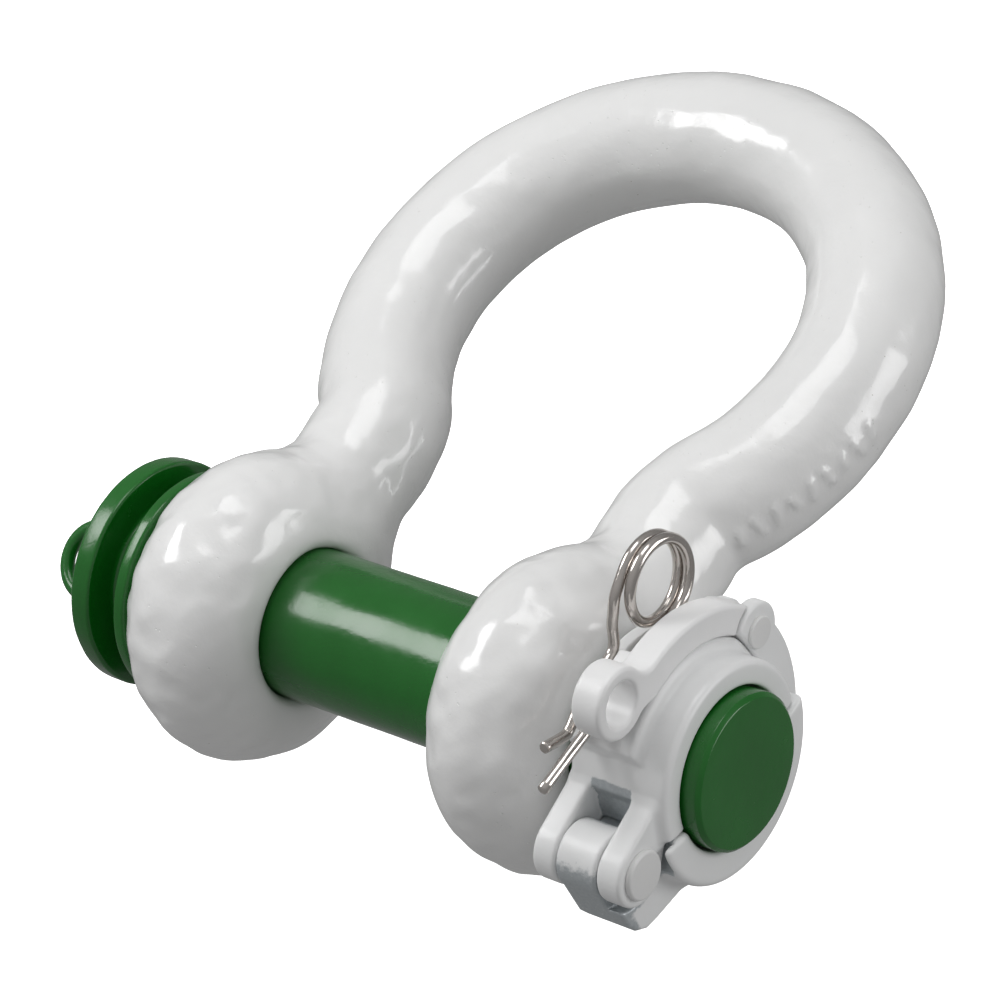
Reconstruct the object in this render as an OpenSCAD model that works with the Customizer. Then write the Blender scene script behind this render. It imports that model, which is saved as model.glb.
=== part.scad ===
// Heavy bow shackle with a spool-headed pin and a hinged two-half pin clamp.
// X runs along the pin towards the clamp, Y towards the crown, Z out of the bow's plane.
// Origin: middle of the jaw on the pin's axis. Millimetres.

/* [Bow] */
// diameter of the bow's round bar
bar_d = 38; // [36:0.5:39]
// distance between the ears, measured along the pin
jaw = 63.5; // [62.5:0.5:64]
// width of one ear along the pin
ear_w = 41.4; // [40.4:0.2:41.6]
// outside diameter of an ear
ear_d = 87.6; // [84:0.4:90]
// radius of the crown's centre line
crown_r = 71.7; // [68:0.1:74]
// crown centre's distance from the pin's axis
crown_y = 114.4; // [112:0.2:118]
// radius of the centre line at each shoulder
shoulder_r = 21.5; // [20:0.5:24]
// rounding of the ears' bore mouths
mouth_r = 3.2; // [1:0.2:4]

/* [Pin] */
// diameter of the pin's shank
pin_d = 42; // [41:0.2:42.4]
// diameter of the two head flanges
flange_d = 64.4; // [58:0.4:68]
// diameter of the neck between the flanges
neck_d = 44; // [38:1:50]
// diameter at the bottom of the clamp's groove
groove_d = 33; // [30:0.5:34]
// length of the chamfer on the pin's end
end_chamfer = 1.1; // [0.4:0.1:2]
// diameter of the lanyard eye's rod
rod_d = 4.2; // [3:0.2:5]

/* [Clamp] */
// outside radius of the upper half's collar
collar_upper_r = 28.3; // [27.6:0.1:28.3]
// outside radius of the lower half's ring
ring_lower_r = 31.2; // [30.4:0.1:31.6]
// radius of the hinge lugs and the knuckle
lug_r = 9; // [8.2:0.1:9.2]
// radius of the hole in the lever's eye
eye_hole_r = 6.1; // [4:0.1:6.6]
// radius of the lever's eye
eye_r = 9.6; // [9:0.1:10]
// diameter of the spring cotter's wire
wire_d = 3; // [2.4:0.1:3.1]

/* [Hidden] */
$fn = 96;
ear_x = jaw / 2 + ear_w / 2;
ear_out = jaw / 2 + ear_w;
shoulder_x = ear_x + shoulder_r;
shoulder_dy = sqrt(pow(crown_r + shoulder_r, 2) - pow(shoulder_x, 2));
shoulder_y = crown_y - shoulder_dy;
shoulder_a = atan2(shoulder_dy, shoulder_x);
bore_r = pin_d / 2 + 0.1;
step = 0.2;
// stations along the pin
head_in = -ear_out - 0.3;
head_out = head_in - 20;
groove_in = 80;
groove_out = 93;
pin_end = 111.6;
clamp_in = 76.8;
lug_a = 84;
lug_b = 96.8;
lug_front = 104.2;
lobe_front = 100.8;
collar_front = 107.6;
lever_in = 89.2;
lever_out = 98;
cheek_in = 85;
cheek_out = 98.5;
tongue_in = 89.3;
tongue_out = 94.2;
// points in the plane across the pin: hinge, lever pivot, lever eye, coil
hinge = [-37.7, 5.2];
pivot = [33.3, 10.8];
eye = [-13, 42.2];
coil = [23.95, 39.42];
coil_r = 11.1;
coil_pitch = 3.285;
clamp_bore_r = pin_d / 2 + 0.7;
rib_r = groove_d / 2 + 0.4;
body_r = 31.3;
sweep_r = norm(hinge) + collar_upper_r;
leg_u = [-0.99533, 0.09657];
leg_x = 86.2;
leg_foot = coil + coil_r * [-leg_u[1], leg_u[0]];
bent_x = 80.2;

// which sub-part to build, or all of them

// ---- helpers ----

// turns a profile given as radius and station about the pin's axis
module turn(a = 360) {
  rotate([0, 90, 0])
    rotate_extrude(angle = a)
      children();
}

// extrudes a shape drawn across the pin (Y, Z) from station a to station b
module across(a, b) {
  translate([a, 0, 0])
    rotate([90, 0, 90])
      linear_extrude(b - a)
        children();
}

module disc(p, r) {
  translate(p)
    circle(r = r);
}

// pie slice between two angles, less than a half turn
module slice(a0, a1, r) {
  m = (a0 + a1) / 2;
  polygon([[0, 0], r * [cos(a0), sin(a0)], 1.4 * r * [cos(m), sin(m)], r * [cos(a1), sin(a1)]]);
}

// tube swept along points that nearly stay across the pin
module sweep(pts, d, sides = 12) {
  n = len(pts);
  tan = [for (i = [0:n - 1]) let (v = pts[min(i + 1, n - 1)] - pts[max(i - 1, 0)]) v / norm(v)];
  side = [for (t = tan) let (v = cross(t, [1, 0, 0])) v / norm(v)];
  ring = [for (i = [0:n - 1], k = [0:sides - 1])
    let (a = 360 * k / sides)
      pts[i] + d / 2 * (cos(a) * side[i] + sin(a) * cross(side[i], tan[i]))];
  walls = [for (i = [0:n - 2], k = [0:sides - 1])
    let (j = (k + 1) % sides)
      [i * sides + k, i * sides + j, (i + 1) * sides + j, (i + 1) * sides + k]];
  cap_a = [for (k = [0:sides - 1]) sides - 1 - k];
  cap_b = [for (k = [0:sides - 1]) (n - 1) * sides + k];
  polyhedron(points = ring, faces = concat([cap_a], walls, [cap_b]));
}

// ---- bow ----

module ear_profile() {
  h = ear_w / 2;
  difference() {
    union() {
      translate([ear_d / 2 - h, 0])
        circle(r = h);
      translate([bore_r, -h])
        square([ear_d / 2 - h - bore_r, ear_w]);
    }
    for (s = [0, 1])
      mirror([0, s])
        difference() {
          translate([bore_r - 1, h - mouth_r])
            square([mouth_r + 1, mouth_r + 1]);
          translate([bore_r + mouth_r, h - mouth_r])
            circle(r = mouth_r);
        }
    translate([-ear_d, -ear_w])
      square([ear_d + bore_r, 2 * ear_w]);
  }
}

module bow_side() {
  translate([ear_x, 0, 0])
    turn()
      ear_profile();
  difference() {
    translate([ear_x, 0, 0])
      rotate([-90, 0, 0])
        cylinder(d = bar_d + 2 * step, h = shoulder_y);
    rotate([0, 90, 0])
      cylinder(r = ear_d / 2 - ear_w / 4, h = 2 * ear_out);
  }
  // each length starts a little inside the next, slightly thicker one
  translate([shoulder_x, shoulder_y, 0])
    rotate([0, 0, 180 - shoulder_a])
      rotate_extrude(angle = shoulder_a + 3)
        translate([shoulder_r, 0])
          circle(d = bar_d + step);
}

module bow() {
  color([0.93, 0.93, 0.92]) {
    bow_side();
    mirror([1, 0, 0])
      bow_side();
    translate([0, crown_y, 0])
      rotate([0, 0, -shoulder_a - 1])
        rotate_extrude(angle = 182 + 2 * shoulder_a)
          translate([crown_r, 0])
            circle(d = bar_d);
  }
}

// ---- pin ----

module pin() {
  r = pin_d / 2;
  f = flange_d / 2;
  color([0.05, 0.33, 0.13])
    turn()
      polygon([[0, head_out], [f - 0.8, head_out], [f, head_out + 0.8], [f, head_out + 6],
        [f - 0.8, head_out + 6.8], [neck_d / 2, head_out + 6.8], [neck_d / 2, head_in - 3.9],
        [f - 0.8, head_in - 3.9], [f, head_in - 3.1], [f, head_in - 0.8], [f - 0.8, head_in],
        [r, head_in], [r, groove_in], [groove_d / 2, groove_in], [groove_d / 2, groove_out],
        [r, groove_out], [r, pin_end - end_chamfer], [r - end_chamfer, pin_end], [0, pin_end]]);
}

// half-hoop of round rod standing on the outer flange
module lanyard_eye() {
  w = 10;
  h = 20;
  color([0.05, 0.33, 0.13])
    translate([head_out - 0.05, -3, -1.5])
      rotate([27, 0, 0]) {
        for (s = [-1, 1])
          translate([0, s * w, 0])
            rotate([0, -90, 0])
              cylinder(d = rod_d, h = h);
        translate([-h, 0, 0])
          rotate([0, 0, 90])
            rotate_extrude(angle = 180)
              translate([w, 0])
                circle(d = rod_d);
      }
}

// fillet welds around the hoop's two feet
module lanyard_welds() {
  w = 10;
  r = rod_d / 2;
  color([0.07, 0.35, 0.15])
    translate([head_out - 0.05, -3, -1.5])
      rotate([27, 0, 0])
        for (s = [-1, 1])
          translate([0, s * w, 0])
            rotate([0, -90, 0])
              rotate_extrude()
                polygon([[r + 0.02, 0], [r + 2.2, 0], [r + 1.3, 1.1], [r + 0.02, 2.2]]);
}

// ---- clamp halves ----

module upper_zone() {
  polygon([[0, -5.3], [90, -13], [90, 90], [-90, 90], [-90, 28.3]]);
}

module lower_zone() {
  polygon([[0, -5.7], [90, -13.4], [90, -90], [-90, -90], [-90, 27.9]]);
}

// room inside which the lower half's arm travels as the clamp opens
module arm_room(gap) {
  disc([0, 0], collar_upper_r + gap);
  intersection() {
    disc(hinge, sweep_r + gap);
    translate([0, -0.4 - gap])
      square([90, 90]);
  }
}

// hinge lug of the upper half, seen along the pin
module lug_shape() {
  disc(hinge, lug_r);
  polygon([hinge + [0, lug_r - 0.05], [-23.5, 15.6], [-18, 14], [-20, 6], [-27, 3],
    hinge + (lug_r - 0.9) * [cos(-60), sin(-60)], hinge]);
}

// bore with the inward rib's clearance: everything the pin and its groove need
module clamp_bore() {
  turn()
    polygon([[0, 60], [clamp_bore_r, 60], [clamp_bore_r, groove_in + 0.35],
      [rib_r, groove_in + 0.35], [rib_r, groove_out - 0.35], [clamp_bore_r, groove_out - 0.35],
      [clamp_bore_r, 120], [0, 120]]);
}

module clamp_upper() {
  c = collar_upper_r;
  color([0.9, 0.9, 0.9])
    difference() {
      union() {
        intersection() {
          turn()
            polygon([[5, clamp_in], [c - 1, clamp_in], [c, clamp_in + 1],
              [c, collar_front - 2.2], [c - 0.8, collar_front - 1.2],
              [c - 1.8, collar_front - 0.8], [5, collar_front - 0.8]]);
          across(60, 120)
            upper_zone();
        }
        // thicker band, which stops short of the hinge
        intersection() {
          turn()
            polygon([[c - 3, clamp_in], [body_r - 1, clamp_in], [body_r, clamp_in + 1],
              [body_r, 95.5], [body_r - 1.2, 97.2], [c + 0.4, 98.3], [c + 0.2, 99.3],
              [c - 3, 99.5]]);
          across(60, 120)
            intersection() {
              upper_zone();
              translate([-18, -60])
                square([120, 120]);
            }
        }
        across(82, 88.6)
          difference() {
            polygon([[-16, 24], [-17.5, 31.5], [-14, 37], [-0.8, 37], [-0.8, 24]]);
            disc([0, 0], 25);
          }
        difference() {
          union() {
            across(clamp_in, lug_a)
              lug_shape();
            across(lug_b, lug_front)
              lug_shape();
          }
          turn()
            square([clamp_bore_r + 1, 120]);
        }
      }
      clamp_bore();
      // pocket for the knuckle
      across(lug_a, lug_b)
        union() {
          disc(hinge, lug_r + 0.4);
          polygon([hinge + [-26, 15], [-24.6, 35], [-24, 15.4], [-23.6, 11.7], [-26.1, 3.8],
            [-27, -7], hinge + [-12, -12]]);
        }
      // room for the lever's arm of the lower half
      across(cheek_in - 0.9, cheek_out + 0.3)
        difference() {
          slice(-40, 44, 60);
          arm_room(0);
        }
      // seat for the lever's tab, open towards the coil
      across(81.4, lever_in + 1.3)
        translate([-0.8, 26.4])
          square([20, 20]);
      translate([leg_x, 0, 0])
        cotter_hole();
      translate([clamp_in - 1, hinge[0], hinge[1]])
        rotate([0, 90, 0])
          cylinder(r = 4.52, h = 40);
    }
}

// hole along the straight leg of the cotter
module cotter_hole() {
  translate([0, leg_foot[0], leg_foot[1]])
    rotate([atan2(leg_u[1], leg_u[0]), 0, 0])
      rotate([-90, 0, 0])
        cylinder(r = wire_d / 2 + 0.3, h = 60);
}

module lobe_shape() {
  polygon([hinge - [lug_r - 0.1, 0], [hinge[0] - lug_r + 0.1, -8.3], [-45.3, -12.3], [-42.2, -15.6],
    [-38.2, -16.9], [-26.5, -19.7], [-16.5, -21.3], [-20, -6], [-27, -1], hinge + [4, 0]]);
}

// what the upper half's lugs need where they run into its body
module lug_root() {
  polygon([hinge, [-24, 17], [-17.5, 14], [-19, 4.6], [-26.4, 2.4],
    hinge + (lug_r + 0.1) * [cos(-60), sin(-60)]]);
}

module arm_shape() {
  difference() {
    union() {
      disc(pivot, 8);
      intersection() {
        disc([0, 0], 40);
        slice(-64, 12, 60);
      }
    }
    arm_room(0.3);
  }
}

module clamp_lower() {
  r = ring_lower_r;
  color([0.88, 0.88, 0.88])
    difference() {
      union() {
        intersection() {
          turn()
            polygon([[5, clamp_in], [r - 1, clamp_in], [r, clamp_in + 1], [r, collar_front - 2],
              [r - 0.6, collar_front - 0.6], [r - 2, collar_front], [5, collar_front]]);
          across(60, 120)
            lower_zone();
        }
        across(lug_a + 0.3, lobe_front)
          difference() {
            lobe_shape();
            disc([0, 0], 22.5);
          }
        across(cheek_in, cheek_out)
          arm_shape();
        // knuckle between the upper half's lugs
        across(lug_a + 0.3, lug_b - 0.3)
          disc(hinge, lug_r);
      }
      clamp_bore();
      translate([clamp_in - 1, hinge[0], hinge[1]])
        rotate([0, 90, 0])
          cylinder(r = 4.55, h = 40);
      // recesses that the upper half's two lugs turn in
      across(60, lug_a + 0.3)
        union() {
          disc(hinge, lug_r + 0.5);
          lug_root();
        }
      across(lug_b - 0.3, lug_front + 2.2)
        disc(hinge, lug_r + 0.5);
      across(lug_b - 0.3, lug_front + 0.4)
        lug_root();
      // slot that the lever's tongue turns in
      across(tongue_in - 0.3, tongue_out + 0.3)
        union() {
          disc(pivot, 9.5);
          translate(pivot)
            square([30, 30]);
        }
      translate([cheek_in - 1, pivot[0], pivot[1]])
        rotate([0, 90, 0])
          cylinder(r = 3.02, h = 20);
    }
}

// headed pin, riveted over at the far lug
module hinge_pin() {
  color([0.86, 0.86, 0.86])
    translate([0, hinge[0], hinge[1]])
      turn()
        polygon([[0, clamp_in - 1.1], [5.4, clamp_in - 1.1], [6, clamp_in - 0.5],
          [6, clamp_in - 0.02], [4.5, clamp_in - 0.02], [4.5, lug_front + 0.02],
          [6.6, lug_front + 0.02], [6.6, lug_front + 1.1], [6.1, lug_front + 1.6],
          [0, lug_front + 1.6]]);
}

// ---- lever ----

module lever_band(a0, a1) {
  intersection() {
    difference() {
      disc([0, 0], 40);
      disc([0, 0], 31.8);
    }
    slice(a0, a1, 70);
  }
}

module lever() {
  color([0.91, 0.91, 0.91])
    difference() {
      union() {
        across(lever_in, lever_out)
          difference() {
            union() {
              lever_band(20, 100);
              disc(eye, eye_r);
            }
            disc(pivot, 8.6);
          }
        across(tongue_in, tongue_out)
          difference() {
            union() {
              lever_band(18, 40);
              disc(pivot, 4.6);
            }
            disc(hinge, sweep_r + 0.4);
          }
        across(82, lever_in + 1)
          translate([-0.4, 26.8])
            square([5.6, 7.4]);
      }
      translate([80, eye[0], eye[1]])
        rotate([0, 90, 0])
          cylinder(r = eye_hole_r, h = 30);
      translate([80, pivot[0], pivot[1]])
        rotate([0, 90, 0])
          cylinder(r = 3.05, h = 30);
      translate([leg_x, 0, 0])
        cotter_hole();
    }
}

// riveted pivot pin with a low chamfered head
module lever_pivot() {
  color([0.87, 0.87, 0.87])
    translate([0, pivot[0], pivot[1]])
      turn()
        polygon([[0, cheek_in - 0.6], [3.8, cheek_in - 0.6], [3.8, cheek_in - 0.02],
          [3, cheek_in - 0.02], [3, cheek_out + 0.02], [4.4, cheek_out + 0.02],
          [4.4, cheek_out + 0.5], [3.8, cheek_out + 1], [0, cheek_out + 1]]);
}

// ---- spring cotter ----

module spring_cotter() {
  start = atan2(leg_u[0], -leg_u[1]);
  turned = 475 - start;
  steps = 60;
  q = leg_foot + 61.4 * leg_u;
  bent = [[14.14, 46.83], [11.96, 45.04], [10.1, 42.4], [8.08, 39.53], [6.9, 36.82],
    [5.6, 34.5], [3.6, 33.3], [0, 33.1], [-7, 32.9], [-14, 31.9], [-18.4, 30.6],
    [-21.2, 31], [-27.8, 35.3]];
  drift = leg_x - coil_pitch * turned / 360 - bent_x;
  color([0.75, 0.76, 0.78])
    sweep(concat([[leg_x, q[0], q[1]], [leg_x, (leg_foot + leg_u)[0], (leg_foot + leg_u)[1]]],
      [for (i = [0:steps])
        let (a = start + turned * i / steps)
          [leg_x - coil_pitch * turned * i / steps / 360,
            coil[0] + coil_r * cos(a), coil[1] + coil_r * sin(a)]],
      [for (i = [0:len(bent) - 1])
        [bent_x + drift * max(0, 1 - (i + 1) / 4), bent[i][0], bent[i][1]]]), wire_d);
}

bow();
pin();
lanyard_eye();
lanyard_welds();
clamp_upper();
clamp_lower();
hinge_pin();
lever();
lever_pivot();
spring_cotter();
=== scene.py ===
import math

import bpy
import numpy as np
from mathutils import Matrix, Vector


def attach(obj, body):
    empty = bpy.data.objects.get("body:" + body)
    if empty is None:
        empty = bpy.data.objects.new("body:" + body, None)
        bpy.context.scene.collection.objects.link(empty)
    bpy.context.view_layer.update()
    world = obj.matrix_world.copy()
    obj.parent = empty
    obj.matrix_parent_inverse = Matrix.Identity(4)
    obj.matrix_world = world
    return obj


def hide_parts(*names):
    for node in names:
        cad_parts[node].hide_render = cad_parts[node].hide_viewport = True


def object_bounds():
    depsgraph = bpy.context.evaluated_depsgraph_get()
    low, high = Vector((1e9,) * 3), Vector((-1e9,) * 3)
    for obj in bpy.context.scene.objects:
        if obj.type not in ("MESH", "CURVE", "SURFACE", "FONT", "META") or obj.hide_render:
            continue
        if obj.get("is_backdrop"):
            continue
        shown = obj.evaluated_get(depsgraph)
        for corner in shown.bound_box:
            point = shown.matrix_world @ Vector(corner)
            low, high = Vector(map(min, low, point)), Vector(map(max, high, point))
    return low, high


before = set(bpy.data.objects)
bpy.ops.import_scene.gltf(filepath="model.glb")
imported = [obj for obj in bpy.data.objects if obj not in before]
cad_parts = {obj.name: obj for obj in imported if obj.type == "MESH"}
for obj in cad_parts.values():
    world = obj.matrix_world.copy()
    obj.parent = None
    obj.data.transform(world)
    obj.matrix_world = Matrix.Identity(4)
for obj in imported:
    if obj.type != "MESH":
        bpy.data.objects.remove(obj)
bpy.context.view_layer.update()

MM = 0.001
scene = bpy.context.scene

# ---------------------------------------------------------------- camera
CAM_POS = Vector((641.46, -369.09, 799.67)) * MM
RIGHT = Vector((0.7776, 0.5206, -0.3524)).normalized()
BACK = Vector((0.5808, -0.3801, 0.7199)).normalized()
UP = BACK.cross(RIGHT).normalized()
RIGHT = UP.cross(BACK).normalized()
cam_data = bpy.data.cameras.new("camera")
cam = bpy.data.objects.new("camera", cam_data)
scene.collection.objects.link(cam)
cam_data.sensor_width = 36
cam_data.lens = 147.5
cam_data.clip_start, cam_data.clip_end = 0.05, 30
cam.matrix_world = Matrix((
    (RIGHT.x, UP.x, BACK.x, CAM_POS.x),
    (RIGHT.y, UP.y, BACK.y, CAM_POS.y),
    (RIGHT.z, UP.z, BACK.z, CAM_POS.z),
    (0, 0, 0, 1)))
scene.camera = cam
scene.view_settings.view_transform = "Standard"

# ---------------------------------------------------------------- sizes, mm (as in the CAD)
EAR_X, EAR_W, EAR_R, BORE = 52.45, 41.4, 43.8, 21.1
BAR, CROWN_R, CROWN_Y, SHOULDER_R = 19.05, 71.7, 114.4, 21.5
SH_X = EAR_X + SHOULDER_R
SH_Y = CROWN_Y - math.sqrt((CROWN_R + SHOULDER_R) ** 2 - SH_X ** 2)
SH_A = math.atan2(CROWN_Y - SH_Y, SH_X)
HINGE, PIVOT, EYE = np.array((-37.7, 5.2)), (33.3, 10.8), (-13, 42.2)  # y, z of each
COIL, COIL_R, PITCH = np.array((23.95, 39.42)), 11.1, 3.285
COIL_END = 475  # angle, in degrees, at which the coil passes into the bent leg
LEG = np.array((-0.99533, 0.09657))
FOOT = COIL + COIL_R * np.array((-LEG[1], LEG[0]))
COLLAR, RING, BODY, ARM = 28.3, 31.2, 31.3, 40  # outer radii about the pin
SWEEP = math.hypot(*HINGE) + COLLAR  # what the arm clears as it swings about the hinge
HEAD_IN, HEAD_OUT, PIN_END = -73.45, -93.45, 111.6  # faces of the pin's head, and its far end
HEAD_R, NECK_R, PIN_R, GROOVE_R = 32.2, 22, 21, 16.5
GROOVE_IN, GROOVE_OUT = 80, 93  # the clamp's groove in the pin
RIB_R, CLAMP_BORE = 16.9, 21.7  # the clamp's bore at its rib and beside it
UPPER_FRONT, LOWER_FRONT = 106.8, 107.6  # front faces of the clamp's halves
CLAMP_IN, LUG_A, LUG_B, LUG_FRONT, LOBE_FRONT = 76.8, 84, 96.8, 104.2, 100.8  # hinge's stations
ROOM_FRONT, RECESS_FRONT = 104.6, 106.4  # room for the front lug's root, and its round recess
THROUGH = 60, 120  # stations past both ends of the clamp
GAP = 0.3  # between parts that turn on each other
LUG_R, LUG_ROOM = 9, 9.5
HINGE_R, PIVOT_R, EYE_R, EYE_HOLE_R = 4.5, 3, 9.6, 6.1
LEVER_IN, LEVER_OUT, CHEEK_IN, CHEEK_OUT = 89.2, 98, 85, 98.5
SLOT_IN, SLOT_OUT = 89, 94.5  # the tongue's slot between the arm's cheeks
CHEEK_R, REAR_CHEEK_R = 8.0, 6.2
LEG_X, BENT_X, WIRE_R = 86.2, 80.2, 1.5  # the cotter's straight leg, bent leg and wire
HOOP_R, HOOP_ROD, HOOP_LEG = 10, 2.1, 20  # the hoop's bend, rod and straight legs
HOOP_AT, HOOP_TILT = (-3, -1.5), math.radians(27)
ROD_SIDES = 24


# ---------------------------------------------------------------- signed distances
def hyp(a, b):
    return np.sqrt(a * a + b * b)


def fillet(a, b, r):
    """union with a rounded inner corner"""
    return np.maximum(r, np.minimum(a, b)) - hyp(np.maximum(r - a, 0), np.maximum(r - b, 0))


def both(a, b, r):
    """intersection with a rounded outer corner"""
    return np.minimum(-r, np.maximum(a, b)) + hyp(np.maximum(r + a, 0), np.maximum(r + b, 0))


def cut(a, b, r):
    """a without b, the new edge rounded"""
    return both(a, -b, r)


def disc(y, z, c, r):
    """circle about c in the plane across the pin"""
    return hyp(y - c[0], z - c[1]) - r


def slab(x, a, b):
    """between two planes across one axis"""
    return np.abs(x - (a + b) / 2) - (b - a) / 2


def poly(y, z, pts):
    """distance to a closed outline, negative inside"""
    pts = np.asarray(pts, float)
    d = np.full(y.shape, 1e9)
    inside = np.zeros(y.shape, bool)
    for (ay, az), (by, bz) in zip(pts, np.roll(pts, -1, 0)):
        ey, ez = by - ay, bz - az
        t = np.clip(((y - ay) * ey + (z - az) * ez) / (ey * ey + ez * ez), 0, 1)
        d = np.minimum(d, (y - ay - t * ey) ** 2 + (z - az - t * ez) ** 2)
        if az != bz:
            inside ^= ((az > z) != (bz > z)) & (y < ey * (z - az) / ez + ay)
    return np.where(inside, -1, 1) * np.sqrt(d)


def bumps(x, y, z, waves, seed, lo, hi):
    """smooth unit-sized lumps, wavelengths lo to hi mm"""
    rng = np.random.default_rng(seed)
    out = np.zeros(x.shape)
    for _ in range(waves):
        k = rng.normal(size=3)
        k *= 2 * math.pi / rng.uniform(lo, hi) / np.linalg.norm(k)
        out += np.sin(k[0] * x + k[1] * y + k[2] * z + rng.uniform(0, 6.3))
    return out / math.sqrt(waves / 2)


# ---------------------------------------------------------------- meshing
def nets(f, lo, hi, h):
    """quad mesh of f = 0 inside a box, its vertices moved onto the surface"""
    n = [int(math.ceil((b - a) / h)) + 1 for a, b in zip(lo, hi)]
    ax = [a + h * np.arange(k) for a, k in zip(lo, n)]
    v = f(*np.meshgrid(*ax, indexing="ij"))
    s = v < 0
    corners = [(i, j, k) for i in (0, 1) for j in (0, 1) for k in (0, 1)]
    count = sum(s[i:n[0] - 1 + i, j:n[1] - 1 + j, k:n[2] - 1 + k].astype(np.int8)
                for i, j, k in corners)
    act = (count > 0) & (count < 8)
    ids = np.full(act.shape, -1)
    ids[act] = np.arange(act.sum())
    base = np.argwhere(act)
    acc, num = np.zeros((len(base), 3)), np.zeros(len(base))
    for a in corners:
        for d in range(3):
            if a[d]:
                continue
            b = tuple(1 if i == d else a[i] for i in range(3))
            pa, pb = base + a, base + b
            va, vb = v[tuple(pa.T)], v[tuple(pb.T)]
            m = (va < 0) != (vb < 0)
            t = va[m] / (va[m] - vb[m])
            acc[m] += np.array(a) + t[:, None] * (np.array(b) - np.array(a))
            num[m] += 1
    p = np.array(lo) + h * (base + acc / num[:, None])
    quads = []
    for d in range(3):
        u, w = (d + 1) % 3, (d + 2) % 3
        sl_a, sl_b = [slice(1, -1)] * 3, [slice(1, -1)] * 3
        sl_a[d], sl_b[d] = slice(0, -1), slice(1, None)
        sa, sb = s[tuple(sl_a)], s[tuple(sl_b)]
        e = np.argwhere(sa != sb) + [0 if i == d else 1 for i in range(3)]
        du, dw = np.eye(3, dtype=int)[u], np.eye(3, dtype=int)[w]
        q = np.stack([ids[tuple((e - o).T)] for o in (0 * du, du, du + dw, dw)], 1)
        flip = s[tuple(e.T)]
        q[flip] = q[flip][:, ::-1]
        quads.append(q)
    quads = np.concatenate(quads)[:, ::-1]
    for _ in range(3):
        x, y, z = p.T
        e = 0.02
        g = np.stack([f(x + e, y, z) - f(x - e, y, z), f(x, y + e, z) - f(x, y - e, z),
                      f(x, y, z + e) - f(x, y, z - e)], 1) / (2 * e)
        step = f(x, y, z)[:, None] * g / np.maximum((g * g).sum(1), 0.3)[:, None]
        size = np.linalg.norm(step, axis=1)[:, None]
        p -= step * np.minimum(1, 0.4 * h / np.maximum(size, 1e-9))
    return p, quads


def make(name, verts_mm, faces, body, node, mat):
    """mesh object in metres, riding on its body and standing for its CAD node"""
    me = bpy.data.meshes.new(name)
    me.from_pydata((np.asarray(verts_mm) * MM).tolist(), [], [list(map(int, f)) for f in faces])
    me.validate()
    me.polygons.foreach_set("use_smooth", [True] * len(me.polygons))
    o = bpy.data.objects.new(name, me)
    scene.collection.objects.link(o)
    me.materials.append(mat)
    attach(o, body)
    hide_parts(node)
    return o


def round_corners(pts, k=6):
    """outline points (u, v, radius) to a polyline with arcs at its corners"""
    out = []
    for i, (u, v, r) in enumerate(pts):
        p = np.array((u, v), float)
        if r <= 0 or i in (0, len(pts) - 1):
            out.append(p)
            continue
        a, b = np.array(pts[i - 1][:2], float) - p, np.array(pts[i + 1][:2], float) - p
        la, lb = np.linalg.norm(a), np.linalg.norm(b)
        a, b = a / la, b / lb
        ang = math.acos(max(-1, min(1, float(a @ b))))
        t = min(r / math.tan(ang / 2), la * 0.49, lb * 0.49)
        rr = t * math.tan(ang / 2)
        c = p + (a + b) / np.linalg.norm(a + b) * rr / math.sin(ang / 2)
        s, e = p + a * t - c, p + b * t - c
        w = math.acos(max(-1, min(1, float(s @ e) / (rr * rr))))
        for j in range(k + 1):
            q = j / k
            out.append(c + (math.sin((1 - q) * w) * s + math.sin(q * w) * e) / math.sin(w))
    return np.array(out)


def lathe(profile, n, wobble, seed, centre=(0, 0)):
    """profile rows (x, r) turned about an axis along X, a little uneven; long runs are divided"""
    profile = profile.copy()
    profile[0, 1] = profile[-1, 1] = 0.02  # a tiny disc closes each end
    rows = [profile[0]]
    for a, b in zip(profile, profile[1:]):
        m = max(1, int(np.linalg.norm(b - a) / 4))
        rows += [a + (b - a) * (j + 1) / m for j in range(m)]
    rows = np.array(rows)
    th = 2 * math.pi * np.arange(n) / n
    v = np.stack([np.repeat(rows[:, 0], n), np.outer(rows[:, 1], np.cos(th)).ravel(),
                  np.outer(rows[:, 1], np.sin(th)).ravel()], 1)
    lump = bumps(v[:, 0], v[:, 1], v[:, 2], 20, seed, 5, 18)
    v[:, 1:] *= (1 + wobble * lump / np.maximum(hyp(v[:, 1], v[:, 2]), 3))[:, None]
    v[:, 1] += centre[0]
    v[:, 2] += centre[1]
    i, k = np.meshgrid(np.arange(len(rows) - 1), np.arange(n), indexing="ij")
    j = (k + 1) % n
    q = np.stack([i * n + k, (i + 1) * n + k, (i + 1) * n + j, i * n + j], -1).reshape(-1, 4)
    faces = q.tolist() + [list(range(n))[::-1], list(range((len(rows) - 1) * n, len(rows) * n))]
    return v, faces


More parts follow.
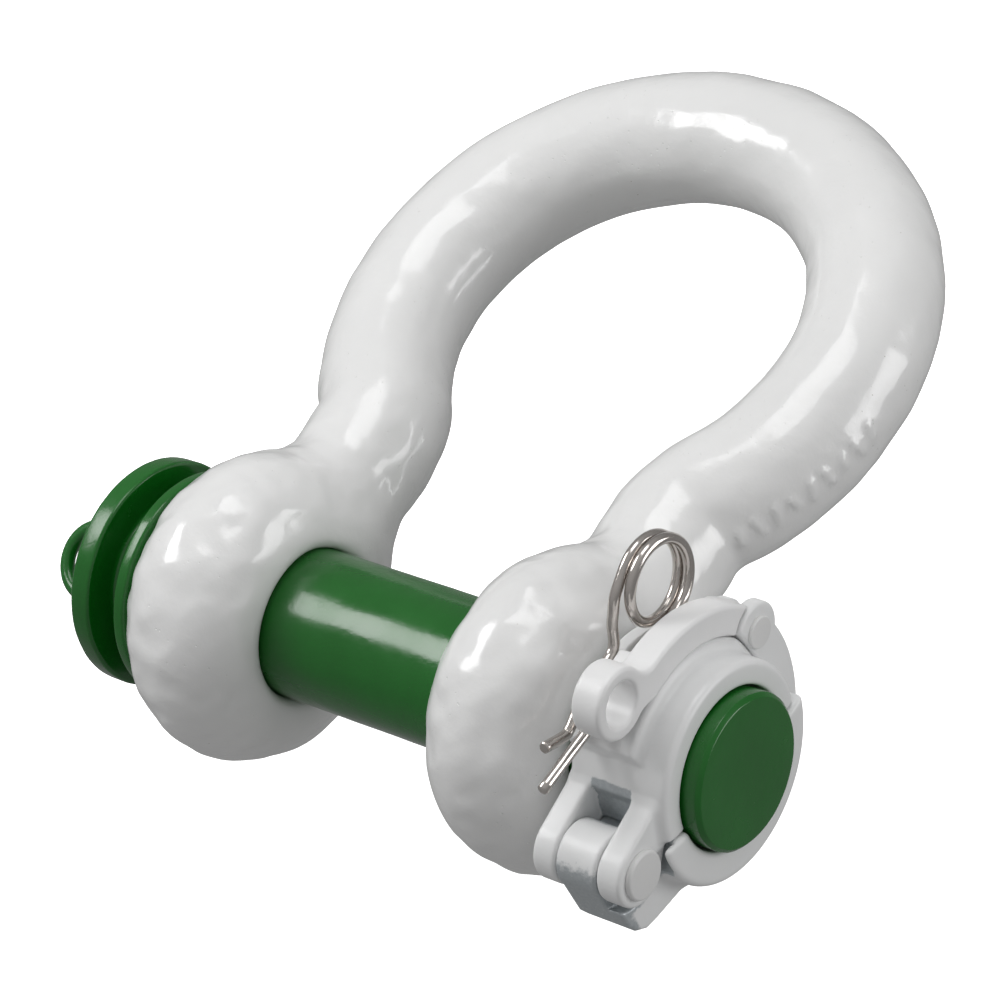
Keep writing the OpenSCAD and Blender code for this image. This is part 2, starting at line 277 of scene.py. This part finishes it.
def tube(path, r, chamfer=0.0):
    """round rod along a smooth path, ends chamfered"""
    n = ROD_SIDES
    p = np.array(path, float)
    tan = np.gradient(p, axis=0)
    tan /= np.linalg.norm(tan, axis=1)[:, None]
    radii = np.full(len(p), float(r))
    if chamfer:
        p = np.vstack([p[0], p[0] + tan[0] * chamfer, p[1:-1], p[-1] - tan[-1] * chamfer, p[-1]])
        tan = np.vstack([tan[0], tan[0], tan[1:-1], tan[-1], tan[-1]])
        radii = np.r_[r - chamfer, np.full(len(p) - 2, float(r)), r - chamfer]
    u = np.cross(tan[0], [0.3, 0.5, 0.81])
    frames = []
    for t in tan:
        u = u - t * (u @ t)
        u /= np.linalg.norm(u)
        frames.append((u, np.cross(t, u)))
    v = []
    for q, (a, b), rad in zip(p, frames, radii):
        for k in range(n):
            th = 2 * math.pi * k / n
            v.append(q + rad * (math.cos(th) * a + math.sin(th) * b))
    m = len(p)
    faces = [[i * n + k, i * n + (k + 1) % n, (i + 1) * n + (k + 1) % n, (i + 1) * n + k]
             for i in range(m - 1) for k in range(n)]
    faces += [list(range(n))[::-1], list(range((m - 1) * n, m * n))]
    return np.array(v), faces


def smooth_path(pts, per):
    """Catmull-Rom curve through the points, per steps between two"""
    p = np.array(pts, float)
    p = np.vstack([2 * p[0] - p[1], p, 2 * p[-1] - p[-2]])
    out = []
    for i in range(1, len(p) - 2):
        for j in range(per):
            t = j / per
            out.append(0.5 * (2 * p[i] + (p[i + 1] - p[i - 1]) * t
                              + (2 * p[i - 1] - 5 * p[i] + 4 * p[i + 1] - p[i + 2]) * t * t
                              + (3 * p[i] - p[i - 1] - 3 * p[i + 1] + p[i + 2]) * t ** 3))
    out.append(p[-2])
    return np.array(out)


# ---------------------------------------------------------------- materials
class Nodes:
    """a material with short calls for the nodes used here"""

    def __init__(self, name):
        self.mat = bpy.data.materials.new(name)
        self.mat.use_nodes = True
        self.t = self.mat.node_tree
        self.b = self.t.nodes["Principled BSDF"]
        self.co = self.t.nodes.new("ShaderNodeTexCoord").outputs["Object"]

    def set(self, **k):
        for n, v in k.items():
            self.b.inputs[n.replace("_", " ")].default_value = v

    def link(self, a, b):
        self.t.links.new(a, b)

    def noise(self, scale, detail=4, rough=0.55):
        n = self.t.nodes.new("ShaderNodeTexNoise")
        n.inputs["Scale"].default_value = scale
        n.inputs["Detail"].default_value = detail
        n.inputs["Roughness"].default_value = rough
        self.link(self.co, n.inputs["Vector"])
        return n.outputs["Fac"]

    def cells(self, scale):
        n = self.t.nodes.new("ShaderNodeTexVoronoi")
        n.inputs["Scale"].default_value = scale
        self.link(self.co, n.inputs["Vector"])
        return n.outputs["Distance"]

    def ramp(self, src, stops):
        n = self.t.nodes.new("ShaderNodeValToRGB")
        e = n.color_ramp.elements
        while len(e) < len(stops):
            e.new(0.5)
        for el, (p, c) in zip(e, stops):
            el.position = p
            el.color = (c, c, c, 1) if isinstance(c, (int, float)) else (*c, 1)
        self.link(src, n.inputs[0])
        return n.outputs[0]

    def mix(self, fac, a, b):
        n = self.t.nodes.new("ShaderNodeMix")
        n.data_type = "RGBA"
        for sock, v in ((n.inputs[0], fac), (n.inputs[6], a), (n.inputs[7], b)):
            if hasattr(v, "links"):
                self.link(v, sock)
            elif isinstance(v, tuple):
                sock.default_value = (*v, 1)
            else:
                sock.default_value = v
        return n.outputs[2]

    def math(self, op, a, b):
        n = self.t.nodes.new("ShaderNodeMath")
        n.operation = op
        for sock, v in ((n.inputs[0], a), (n.inputs[1], b)):
            if hasattr(v, "links"):
                self.link(v, sock)
            else:
                sock.default_value = v
        return n.outputs[0]

    def attr(self, name):
        n = self.t.nodes.new("ShaderNodeAttribute")
        n.attribute_name = name
        return n.outputs["Fac"]

    def bump(self, *layers):
        last = None
        for h, dist in layers:
            n = self.t.nodes.new("ShaderNodeBump")
            n.inputs["Strength"].default_value = 1.0
            n.inputs["Distance"].default_value = dist
            self.link(h, n.inputs["Height"])
            if last is not None:
                self.link(last, n.inputs["Normal"])
            last = n.outputs["Normal"]
        self.link(last, self.b.inputs["Normal"])


def white_gloss():
    """thick gloss paint over a forged skin: soft lumps, small pits, a few specks"""
    m = Nodes("bow_paint")
    tone = m.noise(22, 5)
    specks = m.ramp(m.cells(260), [(0.0, 1.0), (0.035, 1.0), (0.055, 0.0)])
    keep = m.ramp(m.noise(60, 2), [(0.0, 0.0), (0.60, 0.0), (0.66, 1.0)])
    spot = m.math("MULTIPLY", specks, keep)
    col = m.mix(m.ramp(tone, [(0.3, 0.0), (0.7, 1.0)]),
                (0.80, 0.80, 0.795), (0.845, 0.845, 0.84))
    col = m.mix(spot, col, (0.50, 0.48, 0.44))
    m.link(col, m.b.inputs["Base Color"])
    m.link(m.ramp(m.noise(45, 4), [(0.3, 0.14), (0.75, 0.27)]), m.b.inputs["Roughness"])
    m.set(Coat_Weight=0.35, Coat_Roughness=0.08)
    pits = m.ramp(m.cells(420), [(0.0, 0.0), (0.12, 1.0)])
    rare = m.ramp(m.noise(38, 3), [(0.52, 1.0), (0.62, 0.0)])
    pit = m.math("MAXIMUM", pits, rare)
    m.bump((m.noise(55, 3), 0.00045), (m.noise(260, 3), 0.00010), (pit, 0.00016),
           (m.noise(1100, 2), 0.00002))
    return m.mat


def green_gloss():
    """gloss paint with orange peel and a little dust"""
    m = Nodes("pin_paint")
    col = m.mix(m.ramp(m.noise(30, 5), [(0.3, 0.0), (0.7, 1.0)]),
                (0.003, 0.098, 0.006), (0.005, 0.132, 0.010))
    dust = m.ramp(m.cells(700), [(0.0, 1.0), (0.03, 1.0), (0.05, 0.0)])
    keep = m.ramp(m.noise(90, 2), [(0.0, 0.0), (0.66, 0.0), (0.7, 1.0)])
    col = m.mix(m.math("MULTIPLY", dust, keep), col, (0.45, 0.52, 0.44))
    m.link(col, m.b.inputs["Base Color"])
    m.link(m.ramp(m.noise(60, 4), [(0.3, 0.16), (0.75, 0.30)]), m.b.inputs["Roughness"])
    m.set(Coat_Weight=0.12, Coat_Roughness=0.06)
    m.bump((m.noise(120, 3), 0.00012), (m.noise(600, 2), 0.00004))
    return m.mat


def satin_white(name, base, zinc=False):
    """powder coat, worn to bare zinc where the zinc mask is high"""
    m = Nodes(name)
    light = tuple(min(1, c * 1.03) for c in base)
    col = m.mix(m.ramp(m.noise(70, 4), [(0.3, 0.0), (0.7, 1.0)]), base, light)
    rough = m.ramp(m.noise(160, 4), [(0.3, 0.28), (0.75, 0.42)])
    if zinc:
        speckle = m.math("MULTIPLY", m.math("SUBTRACT", m.noise(420, 6, 0.72), 0.5), 1.5)
        patch = m.ramp(m.math("ADD", m.attr("zinc"), speckle), [(0.34, 0.0), (0.72, 1.0)])
        grey = m.mix(m.noise(900, 5, 0.75), (0.31, 0.35, 0.375), (0.62, 0.645, 0.655))
        col = m.mix(patch, col, grey)
        rough = m.mix(patch, rough, (0.42, 0.42, 0.42))
        m.link(m.math("MULTIPLY", patch, 0.35), m.b.inputs["Metallic"])
    m.link(col, m.b.inputs["Base Color"])
    m.link(rough, m.b.inputs["Roughness"])
    m.bump((m.noise(900, 2), 0.00003), (m.noise(240, 3), 0.00006))
    return m.mat


def wire_steel():
    """polished stainless wire"""
    m = Nodes("wire")
    col = m.mix(m.noise(300, 4), (0.50, 0.465, 0.435), (0.66, 0.62, 0.59))
    m.link(col, m.b.inputs["Base Color"])
    m.set(Metallic=1.0)
    m.link(m.ramp(m.noise(500, 4), [(0.3, 0.10), (0.75, 0.22)]), m.b.inputs["Roughness"])
    m.bump((m.noise(1600, 2), 0.00001))
    return m.mat


BOW_M, PIN_M = white_gloss(), green_gloss()
CLAMP_M = satin_white("clamp_coat", (0.80, 0.805, 0.805), zinc=True)
LEVER_M = satin_white("lever_coat", (0.82, 0.82, 0.82))
FAST_M = satin_white("fastener_coat", (0.72, 0.72, 0.715))
WIRE_M = wire_steel()


# ---------------------------------------------------------------- bow
def bow_line(ax, y):
    """distance in the bow's plane from the bar's centre line, for x >= 0"""
    ang = np.arctan2(y - CROWN_Y, ax)
    crown = np.where(ang >= -SH_A, np.abs(hyp(ax, y - CROWN_Y) - CROWN_R), 1e9)
    sa = np.arctan2(y - SH_Y, SH_X - ax)
    shoulder = np.abs(hyp(ax - SH_X, y - SH_Y) - SHOULDER_R)
    shoulder = np.where((sa >= 0) & (sa <= SH_A), shoulder, 1e9)
    leg = np.where(y < SH_Y, hyp(ax - EAR_X, np.minimum(y, 0)), 1e9)
    ends = hyp(ax - CROWN_R * math.cos(SH_A), y - CROWN_Y + CROWN_R * math.sin(SH_A))
    return np.minimum(np.minimum(crown, shoulder), np.minimum(leg, ends))


MARKS = [(math.radians(a), 88.9 + 0.4 * math.sin(a)) for a in np.arange(-36.0, -6.0, 3.6)]
MARK_Z, MARK_HIGH = 3.5, 0.55


def mark_sdf(x, y, z):
    """short plain bars standing on the outer side of the +X leg"""
    out = np.full(x.shape, 9.0)
    for i, (a, r) in enumerate(MARKS):
        cx, cy = r * math.cos(a), CROWN_Y + r * math.sin(a)
        along = -(x - cx) * math.sin(a) + (y - cy) * math.cos(a)
        tilt = 0.25 if i % 2 else -0.15
        u, w = along + tilt * (z - MARK_Z), z - MARK_Z
        out = np.minimum(out, both(np.abs(u) - 1.1, np.abs(w) - (3.6 if i % 3 else 2.6), 0.8))
    return out


def bow_sdf(x, y, z):
    ax = np.abs(x)
    bar = hyp(bow_line(ax, y), z) - BAR
    raised = both(bar - MARK_HIGH, np.maximum(mark_sdf(x, y, z), 66 - x), 0.4)
    bar = fillet(bar, raised, 0.5)
    u, rho = ax - EAR_X, hyp(y, z)
    h = EAR_W / 2
    ear = hyp(np.maximum(rho - (EAR_R - h), 0), u) - h
    d = fillet(bar, ear, 8.0)
    near = np.clip(1.2 - ear / 30, 0, 1)
    lump = (bumps(x, y, z, 26, 5, 11, 34) * (0.10 + 0.16 * near)
            + bumps(x, y, z, 30, 8, 5, 11) * (0.03 + 0.05 * near))
    skin = np.maximum(lump, -0.3) * np.clip((rho - 27) / 6, 0.05, 1)
    d = d + skin + 0.32  # the lumps never pass the CAD's surface
    return both(d, BORE - rho, 3.2)


p, q = nets(bow_sdf, (-93, -46, -46), (93, 207, 46), 1.3)
make("bow_forging", p, q, "bow_body", "bow", BOW_M)

# ---------------------------------------------------------------- pin
prof = round_corners([
    (HEAD_OUT, 0, 0), (HEAD_OUT, HEAD_R, 1.3),
    (HEAD_OUT + 6.8, HEAD_R, 1.1), (HEAD_OUT + 6.8, NECK_R, 1.5),
    (HEAD_IN - 3.9, NECK_R, 1.5), (HEAD_IN - 3.9, HEAD_R, 1.0),
    (HEAD_IN, HEAD_R, 0.9), (HEAD_IN, PIN_R, 0.6),
    (GROOVE_IN, PIN_R, 0.5), (GROOVE_IN, GROOVE_R, 0.5),
    (GROOVE_OUT, GROOVE_R, 0.5), (GROOVE_OUT, PIN_R, 0.5),
    (PIN_END - 1.1, PIN_R, 0.5), (PIN_END, PIN_R - 1.1, 0.6), (PIN_END, 0, 0)])
v, f = lathe(prof, 176, 0.035, 9)
make("shackle_pin", v, f, "pin_body", "pin", PIN_M)


def to_face(local):
    """the hoop's own frame (out, across, up) to the row frame"""
    out, y, z = np.asarray(local, float).T
    c, s = math.cos(HOOP_TILT), math.sin(HOOP_TILT)
    return np.stack([HEAD_OUT - out, HOOP_AT[0] + y * c - z * s, HOOP_AT[1] + y * s + z * c], 1)


hoop = [(h, -HOOP_R, 0) for h in np.linspace(-0.02, HOOP_LEG, 12)]
hoop += [(HOOP_LEG + HOOP_R * math.sin(t), -HOOP_R * math.cos(t), 0)
         for t in np.linspace(0, math.pi, 30)[1:-1]]
hoop += [(h, HOOP_R, 0) for h in np.linspace(HOOP_LEG, -0.02, 12)]
v, f = tube(to_face(hoop), HOOP_ROD)
make("lanyard_hoop", v, f, "pin_body", "lanyard_eye", PIN_M)

verts, faces = [], []
for s in (-1, 1):
    rows, n = [], 48
    bead = [(0, 4.3, 0), (0.5, 4.1, 0.3), (1.3, 3.2, 0.8), (2.2, 2.15, 0.2), (2.2, 2.0, 0)]
    for u, w in round_corners(bead, 4):
        for k in range(n):
            t = 2 * math.pi * k / n
            rip = 1 + 0.05 * math.sin(9 * t + 3 * u) * min(1, u)
            rows.append((u, s * HOOP_R + w * rip * math.cos(t), w * rip * math.sin(t)))
    m = len(rows) // n
    b = len(verts)
    verts += rows
    faces += [[b + i * n + k, b + i * n + (k + 1) % n, b + (i + 1) * n + (k + 1) % n,
               b + (i + 1) * n + k] for i in range(m - 1) for k in range(n)]
v = to_face(verts)
make("hoop_weld_beads", v, faces, "pin_body", "lanyard_welds", PIN_M)


# ---------------------------------------------------------------- clamp halves
def prism(d2, x, a, b, r):
    """outline across the pin carried from station a to b, edges rounded"""
    return both(d2, slab(x, a, b), r)


def bored(d, x, y, z, centre, r):
    """takes out a hole along the pin's direction, right through"""
    return cut(d, np.maximum(disc(y, z, centre, r), slab(x, *THROUGH)), 0.2)


def lug_outline(y, z):
    """the upper half's hinge lug with its root on the collar"""
    pts = [HINGE + (0, LUG_R), (-23.5, 15.6), (-18, 14), (-20, 6), (-27, 3),
           HINGE + (4.5, -7.794), HINGE]
    return np.minimum(disc(y, z, HINGE, LUG_R), poly(y, z, pts))


def arm_room(y, z, g):
    """where the lower half's arm may not reach as it opens, grown by g"""
    far = np.maximum(disc(y, z, HINGE, SWEEP + g), np.maximum(-(z + 0.4 + g), -y))
    return np.minimum(disc(y, z, (0, 0), COLLAR + g), far)


def fan(y, z, a0, a1):
    """wedge between two angles in degrees, less than a half turn"""
    a0, a1 = math.radians(a0), math.radians(a1)
    return np.maximum(y * math.sin(a0) - z * math.cos(a0), -y * math.sin(a1) + z * math.cos(a1))


def bore_sdf(x, rho):
    """the clamp's bore, narrower where its rib stands in the pin's groove"""
    rib = slab(x, GROOVE_IN + 0.35, GROOVE_OUT - 0.35)
    return np.minimum(np.maximum(rho - RIB_R, slab(x, *THROUGH)),
                      np.maximum(rho - CLAMP_BORE, -rib))


def cotter_dist(x, y, z):
    """hole along the cotter's straight leg"""
    w = (y - FOOT[0]) * LEG[1] - (z - FOOT[1]) * LEG[0]
    return hyp(x - LEG_X, w) - WIRE_R - GAP


def upper_sdf(x, y, z):
    rho = hyp(y, z)
    collar = prism(rho - COLLAR, x, CLAMP_IN, UPPER_FRONT, 1.9)
    band = fillet(prism(rho - BODY, x, CLAMP_IN, 97.2, 1.4), collar, 2.6)
    d = np.minimum(both(band, -18 - y, 0.5), collar)
    zone = poly(y, z, [(0, -5.3), (90, -13), (90, 90), (-90, 90), (-90, 28.3)])
    d = both(d, zone, 1.3)
    lugs = lug_outline(y, z)
    lug = np.minimum(prism(lugs, x, CLAMP_IN, LUG_A, 1.1), prism(lugs, x, LUG_B, LUG_FRONT, 1.1))
    lug = np.maximum(lug, 22.7 - rho)
    d = fillet(d, lug, 2.0)
    boss = poly(y, z, [(-16, 24), (-17.5, 31.5), (-14, 37), (-0.8, 37), (-0.8, 24)])
    boss = prism(boss, x, 82, 88.6, 0.6)
    d = fillet(d, np.maximum(boss, 25 - rho), 0.8)
    pocket = poly(y, z, [HINGE + (-26, 15), (-24.6, 35), (-24, 15.4), (-23.6, 11.7), (-26.1, 3.8),
                         (-27, -7), HINGE + (-12, -12)])
    pocket = np.maximum(np.minimum(pocket, disc(y, z, HINGE, LUG_R + 0.4)), slab(x, LUG_A, LUG_B))
    d = cut(d, pocket, 0.4)
    room = np.maximum(fan(y, z, -40, 44), slab(x, CHEEK_IN - 0.9, CHEEK_OUT + GAP))
    d = cut(d, np.maximum(room, -arm_room(y, z, 0)), 0.4)
    seat = np.maximum(np.maximum(-(y + 0.8), -(z - 26.4)), slab(x, 81.4, 90.5))
    d = cut(d, seat, 0.3)
    d = cut(d, cotter_dist(x, y, z), 0.2)
    d = bored(d, x, y, z, HINGE, HINGE_R + 0.02)
    return cut(d, bore_sdf(x, rho), 0.8)


def lower_sdf(x, y, z):
    rho = hyp(y, z)
    ring = prism(rho - RING, x, CLAMP_IN, LOWER_FRONT, 2.2)
    zone = poly(y, z, [(0, -5.7), (90, -13.4), (90, -90), (-90, -90), (-90, 27.9)])
    d = both(ring, zone, 1.4)
    lobe = poly(y, z, [(-46.7, 5.2), (-46.7, -8.3), (-45.3, -12.3), (-42.2, -15.6), (-38.2, -16.9),
                       (-26.5, -19.7), (-16.5, -21.3), (-20, -6), (-27, -1), (-33.7, 5.2)])
    lobe = np.maximum(prism(lobe, x, LUG_A + GAP, LOBE_FRONT, 1.2), 22.7 - rho)
    d = fillet(d, lobe, 3.0)
    cheek = disc(y, z, PIVOT, np.where(x < 89.1, REAR_CHEEK_R, CHEEK_R))
    arm = np.minimum(cheek, np.maximum(rho - ARM, fan(y, z, -64, 12)))
    arm = both(arm, -arm_room(y, z, GAP), 0.5)
    d = fillet(d, prism(arm, x, CHEEK_IN, CHEEK_OUT, 1.0), 2.0)
    root = poly(y, z, [HINGE, (-24, 17), (-17.5, 14), (-19, 4.6), (-26.4, 2.4), (-32.95, -3.03)])
    well = np.minimum(disc(y, z, HINGE, LUG_ROOM), root)
    knuckle_in, knuckle_out = LUG_A + GAP, LUG_B - GAP
    recess = np.maximum(disc(y, z, HINGE, 11.3), slab(x, knuckle_out, RECESS_FRONT))
    d = cut(d, np.maximum(well, x - knuckle_in), 0.5)
    d = cut(d, recess, 0.5)
    d = cut(d, np.maximum(root, slab(x, knuckle_out, ROOM_FRONT)), 0.5)
    d = np.minimum(d, prism(disc(y, z, HINGE, LUG_R), x, knuckle_in, knuckle_out, 0.7))
    slot = np.minimum(disc(y, z, PIVOT, 9.5), np.maximum(-(y - PIVOT[0]), -(z - PIVOT[1])))
    d = cut(d, np.maximum(slot, slab(x, SLOT_IN, SLOT_OUT)), 0.4)
    d = bored(d, x, y, z, PIVOT, PIVOT_R + 0.02)
    d = bored(d, x, y, z, HINGE, HINGE_R + 0.05)
    return cut(d, bore_sdf(x, rho), 0.8)


def zinc(o, f):
    """vertex mask of bare zinc, 0 to 1"""
    me = o.data
    co = np.zeros(len(me.vertices) * 3)
    me.vertices.foreach_get("co", co)
    a = me.attributes.new("zinc", "FLOAT", "POINT")
    a.data.foreach_set("value", f(*(co.reshape(-1, 3).T / MM)).astype(np.float32))


p, q = nets(upper_sdf, (75.5, -49, -10), (109, 34, 40), 0.6)
upper = make("clamp_upper_half", p, q, "clamp_body", "clamp_upper", CLAMP_M)
zinc(upper, lambda x, y, z: (y < -22) * np.clip(
    2.2 - 2.2 * np.maximum(slab(x, LUG_A, LUG_B) / 0.8 + 1, disc(y, z, HINGE, 17) / 3), 0, 1))
p, q = nets(lower_sdf, (75.5, -49, -42), (110, 44, 21), 0.6)
lower = make("clamp_lower_half", p, q, "lower_half", "clamp_lower", CLAMP_M)
zinc(lower, lambda x, y, z: (x > 84.2) * (x < 106) * (y < -24) * np.maximum(
    np.clip(1.1 - 0.2 * np.maximum(z - 7.5, 0)
            - 0.5 * np.maximum(disc(y, z, HINGE, 11.5), 0), 0, 1),
    np.clip(0.85 - 0.3 * np.maximum(y + 45.2, 0), 0, 1) * (z < 0)))

a, b = CLAMP_IN - 0.02, LUG_FRONT + 0.02
prof = round_corners([
    (a - 1.08, 0, 0), (a - 1.08, 6, 0.5), (a, 6, 0.2), (a, HINGE_R, 0),
    (b, HINGE_R, 0), (b, 6.6, 0.15), (b + 1.58, 6.6, 0.9), (b + 1.58, 0, 0)])
v, f = lathe(prof, 96, 0.02, 3, HINGE)
make("hinge_pin_headed", v, f, "clamp_body", "hinge_pin", FAST_M)


# ---------------------------------------------------------------- lever
def lever_sdf(x, y, z):
    rho = hyp(y, z)
    rim = np.abs(rho - (ARM + 31.8) / 2) - (ARM - 31.8) / 2
    band = both(rim, fan(y, z, 20, 100), 3.5)
    d2 = fillet(band, disc(y, z, EYE, EYE_R), 5.0)
    d2 = np.maximum(d2, 31.8 - rho)
    clear = CHEEK_R + 0.6 - disc(y, z, PIVOT, 0)
    d = prism(both(d2, clear, 0.4), x, LEVER_IN, LEVER_OUT, 1.1)
    tongue = np.minimum(np.maximum(rim, fan(y, z, 18, 40)), disc(y, z, PIVOT, 4.6))
    tongue = np.maximum(tongue, SWEEP + 0.4 - disc(y, z, HINGE, 0))
    d = fillet(d, prism(tongue, x, SLOT_IN + GAP, SLOT_OUT - GAP, 0.5), 0.6)
    tab = np.maximum(slab(y, -0.4, 5.2), slab(z, 26.8, 34.2))
    tab = prism(tab, x, 82, LEVER_IN + 1, 0.7)
    d = fillet(d, tab, 1.0)
    d = cut(d, np.maximum(disc(y, z, EYE, EYE_HOLE_R), slab(x, *THROUGH)), 0.7)
    d = bored(d, x, y, z, PIVOT, PIVOT_R + 0.05)
    return cut(d, cotter_dist(x, y, z), 0.2)


p, q = nets(lever_sdf, (81, -25, 2), (99.5, 44, 54), 0.5)
make("latch_lever", p, q, "lever_body", "lever", LEVER_M)
a, b = CHEEK_IN - 0.02, CHEEK_OUT + 0.02
prof = round_corners([
    (a - 0.58, 0, 0), (a - 0.58, 3.8, 0.3), (a, 3.8, 0.1), (a, PIVOT_R, 0),
    (b, PIVOT_R, 0), (b, 4.4, 0.1), (b + 0.98, 4.4, 0.6), (b + 0.98, 0, 0)])
v, f = lathe(prof, 80, 0.02, 4, PIVOT)
make("lever_pivot_rivet", v, f, "lower_half", "lever_pivot", FAST_M)

# ---------------------------------------------------------------- spring cotter
start = math.atan2(LEG[0], -LEG[1])
turned = math.radians(COIL_END) - start
path = [(LEG_X, *(FOOT + LEG * s)) for s in np.linspace(61.4, 0.8, 24)]
for i in range(121):
    a = turned * i / 120
    ring = COIL + COIL_R * np.array([math.cos(start + a), math.sin(start + a)])
    path.append((LEG_X - PITCH * a / (2 * math.pi), *ring))
bent = [(14.14, 46.83), (11.96, 45.04), (10.1, 42.4), (8.08, 39.53), (6.9, 36.82), (5.6, 34.5),
        (3.6, 33.3), (0, 33.1), (-7, 32.9), (-14, 31.9), (-18.4, 30.6), (-21.2, 31), (-27.8, 35.3)]
drift = path[-1][0] - BENT_X  # the bent leg reaches its own station over its first points
bent = [(BENT_X + drift * max(0, 1 - (i + 1) / 4), *b) for i, b in enumerate(bent)]
tail = smooth_path([path[-1]] + bent, 6)
path += [tuple(t) for t in tail[1:]]
v, f = tube(path, WIRE_R, 0.3)
wire = make("spring_cotter_wire", v, f, "cotter_body", "spring_cotter", WIRE_M)
ends = list(range(ROD_SIDES)) + list(range(len(f) - ROD_SIDES - 2, len(f)))
for k in ends:  # the chamfers and the two end discs stay sharp
    wire.data.polygons[k].use_smooth = False

# ---------------------------------------------------------------- stage and light
lo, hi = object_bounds()
me = bpy.data.meshes.new("floor")
half, level = 4.0, lo.z - 0.03  # below the opened clamp
corners = [(-half, -half, level), (half, -half, level), (half, half, level), (-half, half, level)]
me.from_pydata(corners, [], [(0, 1, 2, 3)])
floor = bpy.data.objects.new("floor", me)
scene.collection.objects.link(floor)
fm = Nodes("floor_white")
fm.set(Base_Color=(0.93, 0.93, 0.93, 1), Roughness=0.9,
       Emission_Color=(1, 1, 1, 1), Emission_Strength=1.0)
me.materials.append(fm.mat)
floor.visible_diffuse = floor.visible_glossy = False
floor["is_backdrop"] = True

world = bpy.data.worlds.new("world")
scene.world = world
world.use_nodes = True
wt = world.node_tree
sky, split, shade = (wt.nodes.new("ShaderNode" + k)
                     for k in ("TexCoord", "SeparateXYZ", "ValToRGB"))
wt.links.new(sky.outputs["Generated"], split.inputs[0])
wt.links.new(split.outputs[2], shade.inputs[0])
shade.color_ramp.elements[0].color = (0.27, 0.27, 0.27, 1)
shade.color_ramp.elements[1].position = 0.9
shade.color_ramp.elements[1].color = (0.46, 0.46, 0.46, 1)
wt.links.new(shade.outputs[0], wt.nodes["Background"].inputs[0])
wt.nodes["Background"].inputs[1].default_value = 1.0

target = (lo + hi) / 2


def softbox(name, a, b, c, w, h, power):
    """area light, a, b and c metres from the object to the camera's right, up and back"""
    d = bpy.data.lights.new(name, "AREA")
    d.shape = "RECTANGLE"
    d.size, d.size_y, d.energy = w, h, power
    o = bpy.data.objects.new(name, d)
    scene.collection.objects.link(o)
    o.location = target + RIGHT * a + UP * b + BACK * c
    o.rotation_mode = "QUATERNION"
    o.rotation_quaternion = (target - o.location).to_track_quat("-Z", "Y")


softbox("key", -0.1, 1.05, 0.7, 0.8, 0.5, 4)
softbox("side", -0.87, 0.58, 0.28, 0.5, 0.42, 5)
softbox("fill", 1.3, 0.1, 0.5, 0.8, 0.8, 9)

lo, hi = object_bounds()
